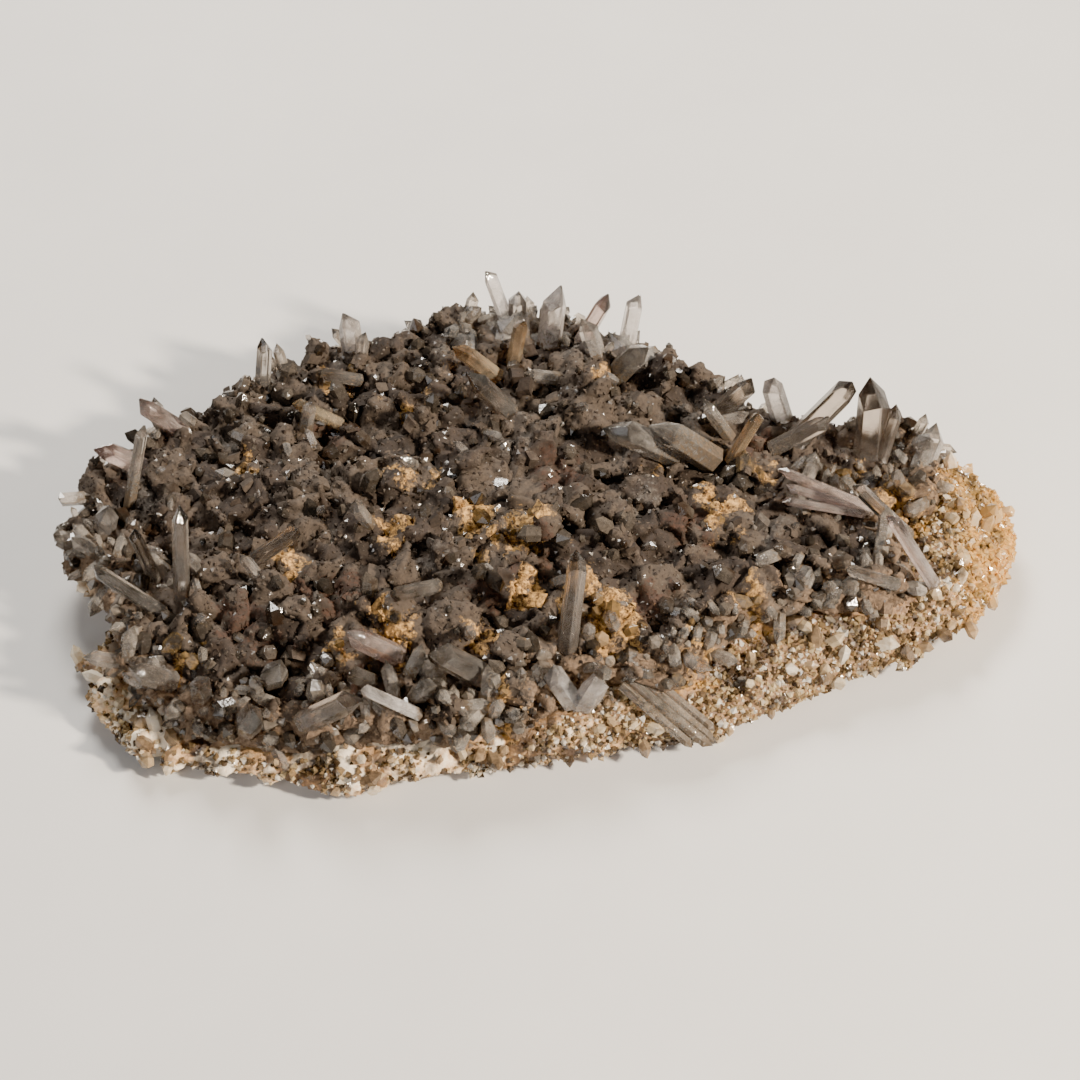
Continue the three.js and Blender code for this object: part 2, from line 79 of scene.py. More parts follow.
# Places in the row frame, in millimetres: x, y, radius. They were judged from the photograph.
# The ochre, rust and grey ones are colour alone, and small quartz points crowd in the others.
OCHRE_HOLLOWS = [
    (13, -28, 8), (9, -22, 6), (-26, -31, 6), (-36, -33, 4), (-28, -26, 4), (-2, -22, 4), (-7, -44, 4),
    (-25, 25, 5), (-25, 6, 6), (-13, -4, 6), (-2, -7, 7), (-8, -11, 5), (-26, -7, 5), (12, 31, 5),
    (33, -2, 7), (31, 2, 5), (41, 9, 4), (-64, -32, 4), (22, 8, 3), (60, 10, 6), (67, 3, 6), (27, -34, 5),
    (39, -23, 5), (-11, -32, 4), (-46, -14, 4), (-55, 10, 4), (-41, 33, 4),
]
RUST_LUMPS = [
    (31, 39, 5), (42, 16, 5), (28, -5, 8), (20, -24, 7), (4, 7, 8), (-38, -21, 8), (-48, -33, 7),
    (-11, -22, 5), (0, -15, 7), (-32, -40, 6), (-54, -26, 8), (-40, 19, 6),
]
QUARTZ_CROWDS = [
    (-10, 50, 7), (0, 48, 6), (5, 46, 7), (12, 43, 7), (17, 39, 6), (-15, 48, 5), (-38, 46, 5),
    (-54, 39, 6), (-75, 25, 5), (-80, 17, 6), (-84, -2, 6), (-81, -10, 5), (74, 19, 7), (63, 10, 6),
    (52, 4, 7), (41, -27, 8), (29, -31, 8), (3, -42, 7), (10, -40, 7), (-51, -45, 7), (-62, -40, 6),
    (-39, -43, 6), (-21, -38, 6), (-26, -42, 5), (-74, -31, 6), (37, 30, 5), (46, 27, 5), (54, -21, 8),
    (62, -12, 6), (-11, -46, 7),
]
RIDGE_CROWDS = [
    (-15, 46, 6), (-8, 47, 6), (0, 46, 6), (6, 44, 6), (12, 42, 6), (18, 38, 5), (-38, 45, 4),
    (-54, 38, 4), (73, 19, 7), (65, 14, 5), (-84, -4, 5),
]
GREY_LUMPS = [
    (18, 0, 8), (43, -5, 7), (19, 15, 8), (-4, 15, 7), (45, -23, 7), (-18, -15, 6), (-59, 18, 9),
    (-73, 4, 9), (-41, 9, 7), (27, 21, 8), (-8, 26, 7), (-20, 40, 8), (-37, 41, 7), (8, 37, 6),
]


def rgb(code):
    """The linear colour of an sRGB hex code."""
    values = [int(code[i : i + 2], 16) / 255 for i in (1, 3, 5)]
    linear = [v / 12.92 if v <= 0.04045 else ((v + 0.055) / 1.055) ** 2.4 for v in values]
    return (*linear, 1.0)


def node(tree, kind, settings=None, inputs=None, stops=()):
    """Adds a node and sets its properties. Each input is linked to a socket or a node's first output, or is
    set to a value or a hex colour. Stops are a colour ramp's positions and hex colours."""
    made = tree.nodes.new(kind)
    for key, value in (settings or {}).items():
        setattr(made, key, value)
    for key, value in (inputs or {}).items():
        if isinstance(value, bpy.types.Node):
            value = value.outputs[0]
        if isinstance(value, bpy.types.NodeSocket):
            tree.links.new(value, made.inputs[key])
        else:
            made.inputs[key].default_value = rgb(value) if str(value).startswith("#") else value
    if stops:
        elements = made.color_ramp.elements
        while len(elements) < len(stops):
            elements.new(0.5)
        for element, (position, colour) in zip(elements, stops):
            element.position = position
            element.color = rgb(colour) if isinstance(colour, str) else colour
    return made


def new_material(name, marks, **patterns):
    """Starts a material. It reads the mesh attributes that marks lists, and has a noise for each pattern,
    given as the width of its blotches in millimetres, its detail and its roughness."""
    material = bpy.data.materials.new(name)
    material.use_nodes = True
    tree = material.node_tree
    tree.nodes.clear()
    place = node(tree, "ShaderNodeTexCoord").outputs["Object"]
    sources = {}
    for mark in marks:
        sources[mark] = node(tree, "ShaderNodeAttribute", {"attribute_name": mark}).outputs["Fac"]
    for title, (width, detail, roughness) in patterns.items():
        settings = {"Vector": place, "Scale": 1 / (width * MM), "Detail": detail, "Roughness": roughness}
        sources[title] = node(tree, "ShaderNodeTexNoise", inputs=settings).outputs["Fac"]
    return material, tree, sources


def stain_shares(tree):
    """The ochre, rust and grey shares of each point and the pale zone, as stain_values gave them."""
    stain = node(tree, "ShaderNodeAttribute", {"attribute_name": "stain"}).outputs
    shares = node(tree, "ShaderNodeSeparateColor", inputs={"Color": stain["Color"]}).outputs
    return shares["Red"], shares["Green"], shares["Blue"], stain["Alpha"]


def tinted(tree, colour, tint, amount, start, full, share):
    """Lays a tint over a colour as the amount goes from start to full, up to this share of the tint."""
    cover = node(tree, "ShaderNodeMapRange", inputs={
        "Value": amount, "From Min": start, "From Max": full, "To Max": share,
    })
    return node(tree, "ShaderNodeMix", {"data_type": "RGBA"}, {0: cover, 6: colour, 7: tint}).outputs[2]


def stained(tree, colour, stain, amount, speckle, start, share):
    """Lays a stain over a colour where its amount and a speckle together go from start to 1."""
    edge = node(tree, "ShaderNodeMath", {"operation": "ADD"}, {0: amount, 1: speckle})
    return tinted(tree, colour, stain, edge, start, 1.0, share)


def oxide_material(name, grain_mm, sparkle):
    """Goethite and manganese oxide after dolomite: earthy and matte, grey-brown, each lump of its own tone,
    with ochre powder in the hollows, rusty and grey lumps, and a few facets that still shine. The creases
    between the lumps carry painted shade, darkened nearly to black."""
    colours = bpy.context.scene.specimen_colours
    material, tree, sources = new_material(
        name, ("tone", "crease", "glint"),
        lump=(2.5, 4.0, 0.6), fine=(0.8, 6.0, 0.75), speckle=(0.9, 5.0, 0.75),
        zone=(1.4, 5.0, 0.7), beige=(0.7, 5.0, 0.7), grain=(grain_mm, 6.0, 0.68),
    )
    lump = node(tree, "ShaderNodeMath", {"operation": "ADD"}, {0: sources["tone"], 1: sources["lump"]})
    # The last two stops share one place, so the lightest lumps stand out from the rest.
    broad = node(tree, "ShaderNodeValToRGB", inputs={"Fac": lump}, stops=(
        (0.45, "#2a211a"), (0.8, "#362b23"), (1.0, "#3e332a"), (1.0, "#4b4036"),
    ))
    fine = node(tree, "ShaderNodeMapRange", inputs={
        "Value": sources["fine"], "From Min": 0.32, "From Max": 0.66, "To Min": 0.6, "To Max": 1.35,
    })
    brown = node(tree, "ShaderNodeMix", {"data_type": "RGBA", "blend_type": "MULTIPLY"}, {
        0: 1.0, 6: broad, 7: fine,
    })
    ochre, rust, grey_film, near_rock = stain_shares(tree)
    beige = node(tree, "ShaderNodeValToRGB", inputs={"Fac": sources["beige"]}, stops=(
        (0.35, "#4f3f31"), (0.65, "#8a735c"),
    ))
    colour = stained(tree, brown.outputs[2], beige, near_rock, sources["zone"], 0.95, 0.8)
    # Painted shade: the colour darkens nearly to black in the creases between the lumps.
    colour = tinted(tree, colour, "#17120e", sources["crease"], 0.45, 0.0, 0.75)
    for amount, light, dark in (
        (grey_film, colours.grey_film, "#3b3530"),
        (rust, colours.rust, "#33251c"),
        (ochre, colours.ochre, "#4a321a"),
    ):
        tint = node(tree, "ShaderNodeValToRGB", inputs={"Fac": sources["speckle"]}, stops=(
            (0.4, dark), (0.66, light),
        ))
        colour = stained(tree, colour, tint, amount, sources["speckle"], 0.74, 0.9)
    shine = node(tree, "ShaderNodeMath", {"operation": "GREATER_THAN"}, {0: sources["glint"], 1: 1 - sparkle})
    colour = tinted(tree, colour, "#6e665e", shine, 0.0, 1.0, 1.0)
    rough = node(tree, "ShaderNodeMapRange", inputs={"Value": shine, "To Min": 0.85, "To Max": 0.18})
    gloss = node(tree, "ShaderNodeMapRange", inputs={"Value": shine, "To Min": 0.2, "To Max": 1.0})
    bump = node(tree, "ShaderNodeBump", inputs={
        "Height": sources["grain"], "Strength": 0.6, "Distance": 0.28 * MM,
    })
    shader = node(tree, "ShaderNodeBsdfPrincipled", inputs={
        "Base Color": colour, "Roughness": rough, "IOR": 1.9,
        "Specular IOR Level": gloss, "Normal": bump,
    })
    node(tree, "ShaderNodeOutputMaterial", inputs={"Surface": shader})
    return material


def rock_material():
    """Vein quartz stained by iron: sugary, cream to pinkish, golden at the bare end and under the crust, with
    painted shade in the creases between its blocks and beads.
    """
    material, tree, sources = new_material(
        "iron_stained_vein_quartz", ("tone", "crease"),
        block=(1.6, 6.0, 0.66), speckle=(1.2, 6.0, 0.7), dirt=(7.0, 4.0, 0.55), grain=(1.3, 6.0, 0.62),
    )
    block = node(tree, "ShaderNodeMath", {"operation": "ADD"}, {0: sources["tone"], 1: sources["block"]})
    level = node(tree, "ShaderNodeMapRange", inputs={"Value": block, "From Min": 0.45, "From Max": 1.35})
    tone = node(tree, "ShaderNodeValToRGB", inputs={"Fac": level}, stops=(
        (0.05, "#6e5237"), (0.36, "#a9845a"), (0.58, "#dbb68c"), (0.86, "#faead0"),
    ))
    golden = node(tree, "ShaderNodeValToRGB", inputs={"Fac": sources["speckle"]}, stops=(
        (0.35, "#8a5e2a"), (0.6, bpy.context.scene.specimen_colours.golden),
    ))
    colour = stained(tree, tone, golden, stain_shares(tree)[0], sources["speckle"], 0.72, 1.0)
    colour = tinted(tree, colour, "#3d2c1f", sources["dirt"], 0.5, 0.6, 0.85)
    # Painted shade: the colour darkens to brown in the creases between blocks and beads.
    colour = tinted(tree, colour, "#3a2a1e", sources["crease"], 0.5, 0.0, 0.8)
    bump = node(tree, "ShaderNodeBump", inputs={
        "Height": sources["grain"], "Strength": 0.8, "Distance": 0.6 * MM,
    })
    shader = node(tree, "ShaderNodeBsdfPrincipled", inputs={
        "Base Color": colour, "Roughness": 0.42, "IOR": QUARTZ_IOR, "Normal": bump,
    })
    node(tree, "ShaderNodeOutputMaterial", inputs={"Surface": shader})
    return material


def grain_material(name, tones, dirt_from, golden_share):
    """Quartz druse: small glassy grains, milky inside, each of its own tone, golden where iron stained them,
    with brown oxide between them. The dirt starts where its noise passes the given value."""
    material, tree, sources = new_material(
        name, ("glint",),
        mottle=(1.0, 5.0, 0.7), speckle=(1.8, 5.0, 0.7), dirt=(7.0, 4.0, 0.55), grain=(0.9, 3.0, 0.5),
    )
    mottle = node(tree, "ShaderNodeMath", {"operation": "MULTIPLY_ADD"}, {
        0: sources["mottle"], 1: 0.8, 2: sources["glint"],
    })
    level = node(tree, "ShaderNodeMath", {"operation": "SUBTRACT"}, {0: mottle, 1: 0.4})
    stops = [(i / (len(tones) - 1), code) for i, code in enumerate(tones)]
    tone = node(tree, "ShaderNodeValToRGB", inputs={"Fac": level}, stops=stops)
    colour = stained(tree, tone, "#f0bf70", stain_shares(tree)[0], sources["speckle"], 0.75, golden_share)
    colour = tinted(tree, colour, "#3b2b20", sources["dirt"], dirt_from, dirt_from + 0.12, 0.8)
    bump = node(tree, "ShaderNodeBump", inputs={
        "Height": sources["grain"], "Strength": 0.4, "Distance": 0.25 * MM,
    })
    shader = node(tree, "ShaderNodeBsdfPrincipled", inputs={
        "Base Color": colour, "Roughness": 0.12, "IOR": QUARTZ_IOR, "Transmission Weight": 0.4,
        "Normal": bump,
    })
    node(tree, "ShaderNodeOutputMaterial", inputs={"Surface": shader})
    return material


def quartz_material(name, tint, smoke, milk, milkiness, dust, dust_reach):
    """Rock crystal: glassy six-sided points with growth lines across the prism, milky veils inside, and
    brown oxide dust that thins out from the root. Milkiness and dust are shares of the surface."""
    material, tree, sources = new_material(
        name, ("along", "length"), veil=(3.0, 5.0, 0.65), powder=(0.7, 6.0, 0.75),
    )
    fading = node(tree, "ShaderNodeMath", {"operation": "MULTIPLY"}, {0: sources["along"], 1: 0.4})
    cloud = node(tree, "ShaderNodeMath", {"operation": "SUBTRACT"}, {0: sources["veil"], 1: fading})
    cloudy = node(tree, "ShaderNodeMapRange", inputs={
        "Value": cloud, "From Min": 0.1, "From Max": 0.6,
        "To Min": 0.12 * milkiness, "To Max": milkiness,
    })
    clear = node(tree, "ShaderNodeMath", {"operation": "SUBTRACT"}, {0: 1.0, 1: cloudy})
    colour = node(tree, "ShaderNodeMix", {"data_type": "RGBA"}, {0: cloudy, 6: tint, 7: milk})
    fade = node(tree, "ShaderNodeMapRange", inputs={
        "Value": sources["along"], "From Min": dust_reach, "From Max": 0.0, "To Max": 0.42,
    })
    dusty = node(tree, "ShaderNodeMath", {"operation": "ADD"}, {0: sources["powder"], 1: fade})
    dusty_share = node(tree, "ShaderNodeMapRange", inputs={
        "Value": dusty, "From Min": 0.9 - dust, "From Max": 1.0 - dust,
    })
    growth = node(tree, "ShaderNodeMath", {"operation": "MULTIPLY"}, {
        0: sources["length"], 1: GROWTH_LINES_PER_METRE,
    })
    lines = node(tree, "ShaderNodeTexNoise", {"noise_dimensions": "1D"}, {
        "W": growth, "Scale": 1.0, "Detail": 2.0,
    })
    bump = node(tree, "ShaderNodeBump", inputs={
        "Height": lines.outputs["Fac"], "Strength": 0.15, "Distance": 0.12 * MM,
    })
    glass = node(tree, "ShaderNodeBsdfPrincipled", inputs={
        "Base Color": colour.outputs[2], "Roughness": 0.03, "IOR": QUARTZ_IOR,
        "Transmission Weight": clear, "Normal": bump,
    })
    film_tone = node(tree, "ShaderNodeValToRGB", inputs={"Fac": sources["powder"]}, stops=(
        (0.35, "#2c241c"), (0.65, "#6b5b48"),
    ))
    film = node(tree, "ShaderNodeBsdfPrincipled", inputs={"Base Color": film_tone, "Roughness": 0.7})
    both = node(tree, "ShaderNodeMixShader", inputs={0: dusty_share, 1: glass, 2: film})
    depth = node(tree, "ShaderNodeVolumeAbsorption", inputs={"Color": smoke, "Density": 130.0})
    node(tree, "ShaderNodeOutputMaterial", inputs={"Surface": both, "Volume": depth})
    return material


def paper_material():
    """Matt studio paper: even and pale, with a faint cloudiness."""
    material, tree, sources = new_material("pale_studio_paper", (), cloud=(60.0, 4.0, 0.6))
    tone = node(tree, "ShaderNodeValToRGB", inputs={"Fac": sources["cloud"]}, stops=(
        (0.3, "#d8d6d3"), (0.7, "#dedcd9"),
    ))
    paper = node(tree, "ShaderNodeBsdfPrincipled", inputs={"Base Color": tone, "Roughness": 0.85})
    node(tree, "ShaderNodeOutputMaterial", inputs={"Surface": paper})
    return material


def link(name, mesh):
    """Puts a mesh into the scene as a piece at the origin."""
    piece = bpy.data.objects.new(name, mesh)
    bpy.context.scene.collection.objects.link(piece)
    return piece


def merged_copy(node_name, name):
    """A closed copy of a CAD node's mesh, without custom normals."""
    mesh = bpy.data.meshes.new(name)
    work = bmesh.new()
    work.from_mesh(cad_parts[node_name].data)
    bmesh.ops.remove_doubles(work, verts=work.verts, dist=1e-7)
    work.to_mesh(mesh)
    work.free()
    for old in [a.name for a in mesh.attributes if a.name.startswith("custom_normal")]:
        mesh.attributes.remove(mesh.attributes[old])
    return mesh


def coordinates(mesh):
    """A mesh's points, one row each."""
    points = np.empty(len(mesh.vertices) * 3)
    mesh.vertices.foreach_get("co", points)
    return points.reshape(-1, 3)


def vertex_normals(mesh):
    """The directions in which a mesh's points face, one row each."""
    normals = np.empty(len(mesh.vertices) * 3)
    mesh.vertex_normals.foreach_get("vector", normals)
    return normals.reshape(-1, 3)


def set_coordinates(mesh, points):
    """Moves a mesh's points to these places."""
    mesh.vertices.foreach_set("co", points.astype(np.float32).ravel())
    mesh.update()


def set_attribute(mesh, name, values):
    """Gives every point its value of an attribute: a number, or four for a colour."""
    kind, key = ("FLOAT_COLOR", "color") if values.ndim == 2 else ("FLOAT", "value")
    layer = mesh.attributes.get(name) or mesh.attributes.new(name, kind, "POINT")
    layer.data.foreach_set(key, values.astype(np.float32).ravel())


def tree_of(node_names):
    """A search tree of the CAD surfaces of these nodes."""
    corners, faces = [], []
    for name in node_names:
        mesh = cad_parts[name].data
        faces += [tuple(len(corners) + i for i in polygon.vertices) for polygon in mesh.polygons]
        corners += [vertex.co for vertex in mesh.vertices]
    return BVHTree.FromPolygons(corners, faces)


def sine_field(points, size_mm, seed):
    """Smooth noise in -1..1 at many points: a sum of sine waves in seeded directions."""
    rng = np.random.default_rng(seed)
    total = np.zeros(len(points))
    for _ in range(7):
        way = rng.normal(size=3)
        way *= rng.uniform(0.7, 1.4) * 2 * math.pi / (size_mm * MM * np.linalg.norm(way))
        total += np.sin(points @ way + rng.uniform(0, 2 * math.pi))
    return np.clip(total / 3.2, -1, 1)


def cell_relief(points, size_mm, seed):
    """Crowded lumps about this wide: a height of 1 on a lump and 0 in the cleft beside it, and each
    lump's own random number."""
    rng = np.random.default_rng(seed)
    low, high = points.min(axis=0), points.max(axis=0)
    count = int(np.prod((high - low) / (size_mm * MM))) + 2
    middles = rng.uniform(low, high, (count, 3))
    tree = KDTree(count)
    for i, middle in enumerate(middles):
        tree.insert(middle, i)
    tree.balance()
    found = [tree.find_n(point, 2) for point in points]
    gap = np.array([second[2] - first[2] for first, second in found]) / (size_mm * MM)
    height = np.clip(gap / 0.24, 0, 1)
    own = rng.uniform(0, 1, count)[[first[1] for first, second in found]]
    return height * (2 - height), own


def clearance(points):
    """How far points are outside the nearest large crystal, and below 0 inside it."""
    values = []
    for point in points:
        spot, normal, _, away = CRYSTALS.find_nearest(Vector(point))
        values.append(math.copysign(away, (Vector(point) - spot).dot(normal)))
    return np.array(values)


def near_any(points, places):
    """1 at the middle of the nearest place and 0 at its radius, level across z."""
    best = np.zeros(len(points))
    for x, y, radius in places:
        away = np.hypot(points[:, 0] / MM - x, points[:, 1] / MM - y) / radius
        best = np.maximum(best, 1 - away)
    return np.clip(best, 0, 1)


def edge_share(points):
    """1 on the bare parts of the slab, falling to 0 at the druse's reach from them."""
    away = np.array([BARE_ROCK.find(Vector(point))[2] for point in points])
    return np.clip(1 - away / bpy.context.scene.specimen.druse_reach, 0, 1)


def bare_rock_tree():
    """The slab's own points at the front and the bare end that the crust doesn't cover."""
    crust = tree_of([CRUST_NODE])
    just_above = Vector((0, 0, 0.1 * MM))
    points = []
    mesh = merged_copy(SLAB_NODE, "slab_probe")
    work = bmesh.new()
    work.from_mesh(mesh)
    bmesh.ops.subdivide_edges(work, edges=work.edges, cuts=2)
    for vertex in work.verts:
        x, y, z = vertex.co / MM
        at_the_back = y > 8 and x < 74
        if vertex.normal.z < 0 or z < 2 or at_the_back:
            continue
        if crust.ray_cast(vertex.co + just_above, UP)[0] is None:
            points.append(vertex.co.copy())
    work.free()
    bpy.data.meshes.remove(mesh)
    tree = KDTree(len(points))
    for i, point in enumerate(points):
        tree.insert(point, i)
    tree.balance()
    return tree


# The bare rock and the large crystals are searched many times, so their trees are built once.
BARE_ROCK = bare_rock_tree()
CRYSTALS = tree_of(QUARTZ_NODES)


def stain_values(points):
    """Ochre, rust and grey shares of each point, as a colour's red, green and blue, and the pale zone by the
    bare rock as its alpha."""
    wobble = points + 2.8 * MM * np.stack([sine_field(points, 6, s) for s in (1, 2, 3)], axis=1)
    ochre = 0.75 * near_any(wobble, OCHRE_HOLLOWS)
    edge = edge_share(points)
    bare_end = np.clip((points[:, 0] / MM - 66) / 22, 0, 1)
    front = 0.14 * edge * (1 - bare_end)
    ochre = np.clip(np.maximum(ochre, np.maximum(0.62 * bare_end, front)), 0, 1)
    rust = 0.7 * near_any(wobble, RUST_LUMPS)
    dusty = 0.55 * near_any(wobble, GREY_LUMPS)
    return np.stack([ochre, rust, dusty, edge], axis=1)


def nugget_mesh():
    """A rough eight-faced grain, one unit long."""
    mesh = bpy.data.meshes.new("grain_model")
    ends = [
        (0.55, 0.1, 0), (-0.5, 0.05, 0.1), (0.05, 0.45, 0.05),
        (0, -0.4, -0.1), (0.1, 0, 0.45), (-0.05, 0.1, -0.4),
    ]
    faces = [
        (0, 2, 4), (2, 1, 4), (1, 3, 4), (3, 0, 4),
        (2, 0, 5), (1, 2, 5), (3, 1, 5), (0, 3, 5),
    ]
    mesh.from_pydata(ends, [], faces)
    return mesh


def rhomb_mesh():
    """A small dolomite rhomb, one unit long, whose faces are bent like saddles."""
    lean = 0.13
    bend = 0.3
    mesh = bpy.data.meshes.new("grain_model")
    work = bmesh.new()
    bmesh.ops.create_cube(work, size=0.8)
    bmesh.ops.subdivide_edges(work, edges=work.edges, cuts=2, use_grid_fill=True)
    for vertex in work.verts:
        x, y, z = vertex.co
        round_off = 1 - 0.25 * (x * x + y * y + z * z)
        saddle = bend * (x * x - y * y)
        vertex.co = Vector((x + lean * (y + z), y + lean * (x + z), z + lean * (x + y) + saddle)) * round_off
    bmesh.ops.triangulate(work, faces=work.faces)
    work.to_mesh(mesh)
    work.free()
    return mesh


def quartz_point_mesh(width, tip):
    """A six-sided quartz point, one unit long, standing on its root."""
    mesh = bpy.data.meshes.new("grain_model")
    work = bmesh.new()
    rings = []
    for z, rise in ((0.0, 0.0), (1 - tip, 0.16 * tip)):
        ring = []
        for i in range(6):
            turn = math.pi / 3 * i
            corner = (width / 2 * math.cos(turn), width / 2 * math.sin(turn), z + rise * (i % 2))
            ring.append(work.verts.new(corner))
        rings.append(ring)
    low, high = rings
    apex = work.verts.new((0.16 * width, 0.08 * width, 1))
    work.faces.new(low[::-1])
    for i in range(6):
        j = (i + 1) % 6
        work.faces.new((low[i], low[j], high[j], high[i]))
        work.faces.new((high[i], high[j], apex))
    bmesh.ops.triangulate(work, faces=work.faces)
    bmesh.ops.recalc_face_normals(work, faces=work.faces)
    work.to_mesh(mesh)
    work.free()
    return mesh


def scatter_tree(name):
    """Geometry nodes: stands copies of a grain on a surface, turned and sized at random, as real meshes."""
    tree = bpy.data.node_groups.new(name, "GeometryNodeTree")
    face = tree.interface
    face.new_socket("Geometry", in_out="INPUT", socket_type="NodeSocketGeometry")
    face.new_socket("Grain", in_out="INPUT", socket_type="NodeSocketObject")
    face.new_socket("Material", in_out="INPUT", socket_type="NodeSocketMaterial")
    for title in ("Spacing", "Smallest", "Largest", "Sink", "Tilt", "Density"):
        face.new_socket(title, in_out="INPUT", socket_type="NodeSocketFloat")
    face.new_socket("Seed", in_out="INPUT", socket_type="NodeSocketInt")
    face.new_socket("Geometry", in_out="OUTPUT", socket_type="NodeSocketGeometry")
    given = node(tree, "NodeGroupInput").outputs
    cover = node(tree, "GeometryNodeInputNamedAttribute", {"data_type": "FLOAT"}, {"Name": "cover"})
    points = node(tree, "GeometryNodeDistributePointsOnFaces", {"distribute_method": "POISSON"}, {
        "Mesh": given["Geometry"], "Distance Min": given["Spacing"],
        "Density Max": given["Density"], "Density Factor": cover.outputs["Attribute"],
        "Seed": given["Seed"],
    })
    back = node(tree, "ShaderNodeMath", {"operation": "MULTIPLY"}, {0: given["Tilt"], 1: -1.0})
    low_turn = node(tree, "ShaderNodeCombineXYZ", inputs={"X": back, "Y": back})
    high_turn = node(tree, "ShaderNodeCombineXYZ", inputs={
        "X": given["Tilt"], "Y": given["Tilt"], "Z": 2 * math.pi,
    })
    turn = node(tree, "FunctionNodeRandomValue", {"data_type": "FLOAT_VECTOR"}, {
        0: low_turn, 1: high_turn, "Seed": given["Seed"],
    })
    turned = node(tree, "FunctionNodeEulerToRotation", inputs={0: turn})
    tilted = node(tree, "FunctionNodeRotateRotation", {"rotation_space": "LOCAL"}, {
        0: points.outputs["Rotation"], 1: turned,
    })
    skew = node(tree, "FunctionNodeRandomValue", {"data_type": "FLOAT"}, {"Seed": given["Seed"]})
    spread = node(tree, "ShaderNodeMath", {"operation": "POWER"}, {0: skew.outputs[1], 1: 1.8})
    between = node(tree, "ShaderNodeMapRange", inputs={
        "Value": spread, "To Min": given["Smallest"], "To Max": given["Largest"],
    })
    grain = node(tree, "GeometryNodeObjectInfo", inputs={"Object": given["Grain"], "As Instance": True})
    depth = node(tree, "ShaderNodeMath", {"operation": "MULTIPLY"}, {0: given["Sink"], 1: -1.0})
    drop = node(tree, "ShaderNodeVectorMath", {"operation": "SCALE"}, {
        0: points.outputs["Normal"], "Scale": depth,
    })
    sunk = node(tree, "GeometryNodeSetPosition", inputs={"Geometry": points, "Offset": drop})
    copies = node(tree, "GeometryNodeInstanceOnPoints", inputs={
        "Points": sunk, "Instance": grain.outputs["Geometry"],
        "Rotation": tilted, "Scale": between,
    })
    real = node(tree, "GeometryNodeRealizeInstances", inputs={"Geometry": copies})
    coated = node(tree, "GeometryNodeSetMaterial", inputs={"Geometry": real, "Material": given["Material"]})
    node(tree, "NodeGroupOutput", inputs={"Geometry": coated})
    return tree


def scattered(name, carrier, grain_mesh, material, values):
    """The scatter tree's result on a carrier mesh with a "cover" attribute, as one plain mesh piece."""
    tree = bpy.data.node_groups.get("grains_on_a_surface") or scatter_tree("grains_on_a_surface")
    grain = link("grain_model", grain_mesh)
    modifier = carrier.modifiers.new("Grains", "NODES")
    modifier.node_group = tree
    sockets = {s.name: s.identifier for s in tree.interface.items_tree if s.in_out == "INPUT"}
    for title, value in {**values, "Grain": grain, "Material": material}.items():
        modifier[sockets[title]] = value
    bpy.context.view_layer.update()
    graph = bpy.context.evaluated_depsgraph_get()
    mesh = bpy.data.meshes.new_from_object(carrier.evaluated_get(graph))
    mesh.name = name
    carrier.modifiers.remove(modifier)
    bpy.data.objects.remove(grain)
    piece = link(name, mesh)
    finish_grains(mesh, len(grain_mesh.vertices), values["Seed"])
    bpy.data.meshes.remove(grain_mesh)
    return piece


def finish_grains(mesh, points_per_grain, seed):
    """Gives each grain its own random number and each point its stain."""
    rng = np.random.default_rng(seed)
    count = len(mesh.vertices) // points_per_grain
    set_attribute(mesh, "glint", np.repeat(rng.uniform(0, 1, count), points_per_grain))
    points = coordinates(mesh)
    centres = points.reshape(count, points_per_grain, 3).mean(axis=1)
    set_attribute(mesh, "stain", np.repeat(stain_values(centres), points_per_grain, axis=0))
    set_attribute(mesh, "tone", np.repeat(rng.uniform(0, 1, count), points_per_grain))
    # The grains have no painted shade from creases.
    set_attribute(mesh, "crease", np.ones(len(points)))


def keep_in_box(mesh):
    """Holds a mesh inside the CAD model's box, and so above what it rests on."""
    low, high = (np.array(corner) for corner in CAD_BOX)
    set_coordinates(mesh, np.clip(coordinates(mesh), low, high))


def voxel_skin(piece, voxel):
    """Remeshes a piece into one even skin."""
    modifier = piece.modifiers.new("Skin", "REMESH")
    modifier.mode = "VOXEL"
    modifier.voxel_size = voxel
    modifier.use_smooth_shade = True
    bpy.context.view_layer.update()
    graph = bpy.context.evaluated_depsgraph_get()
    mesh = bpy.data.meshes.new_from_object(piece.evaluated_get(graph))
    mesh.name = piece.name
    old = piece.data
    piece.modifiers.remove(modifier)
    piece.data = mesh
    bpy.data.meshes.remove(old)
    return piece


def lump_into(work, centre, radius, rng):
    """Adds one irregular lump, as of grown-together rhombs, to a bmesh."""
    made = bmesh.ops.create_icosphere(work, subdivisions=2, radius=radius)["verts"]
    squash = rng.uniform(0.72, 1.1, 3)
    turn = Euler(rng.uniform(0, 2 * math.pi, 3)).to_matrix()
    flats = [Vector(rng.normal(size=3)).normalized() for _ in range(9)]
    for vertex in made:
        way = vertex.co.normalized()
        flatness = max(flat.dot(way) for flat in flats)
        cut = vertex.co * (1.25 - 0.38 * flatness)
        vertex.co = centre + turn @ Vector(c * s for c, s in zip(cut, squash))


def surface_spots(mesh, count, rng):
    """Random places on a mesh's triangles, even by area, with their normals."""
    mesh.calc_loop_triangles()
    corners = np.empty(len(mesh.loop_triangles) * 3, np.int32)
    mesh.loop_triangles.foreach_get("vertices", corners)
    a, b, c = coordinates(mesh)[corners.reshape(-1, 3)].transpose(1, 0, 2)
    across = np.cross(b - a, c - a)
    area = np.linalg.norm(across, axis=1)
    chosen = rng.choice(len(area), size=count, p=area / area.sum())
    u, v = rng.uniform(0, 1, (2, count, 1))
    over = u + v > 1
    u, v = np.where(over, 1 - u, u), np.where(over, 1 - v, v)
    spots = a[chosen] + u * (b - a)[chosen] + v * (c - a)[chosen]
    return spots, across[chosen] / area[chosen, None]


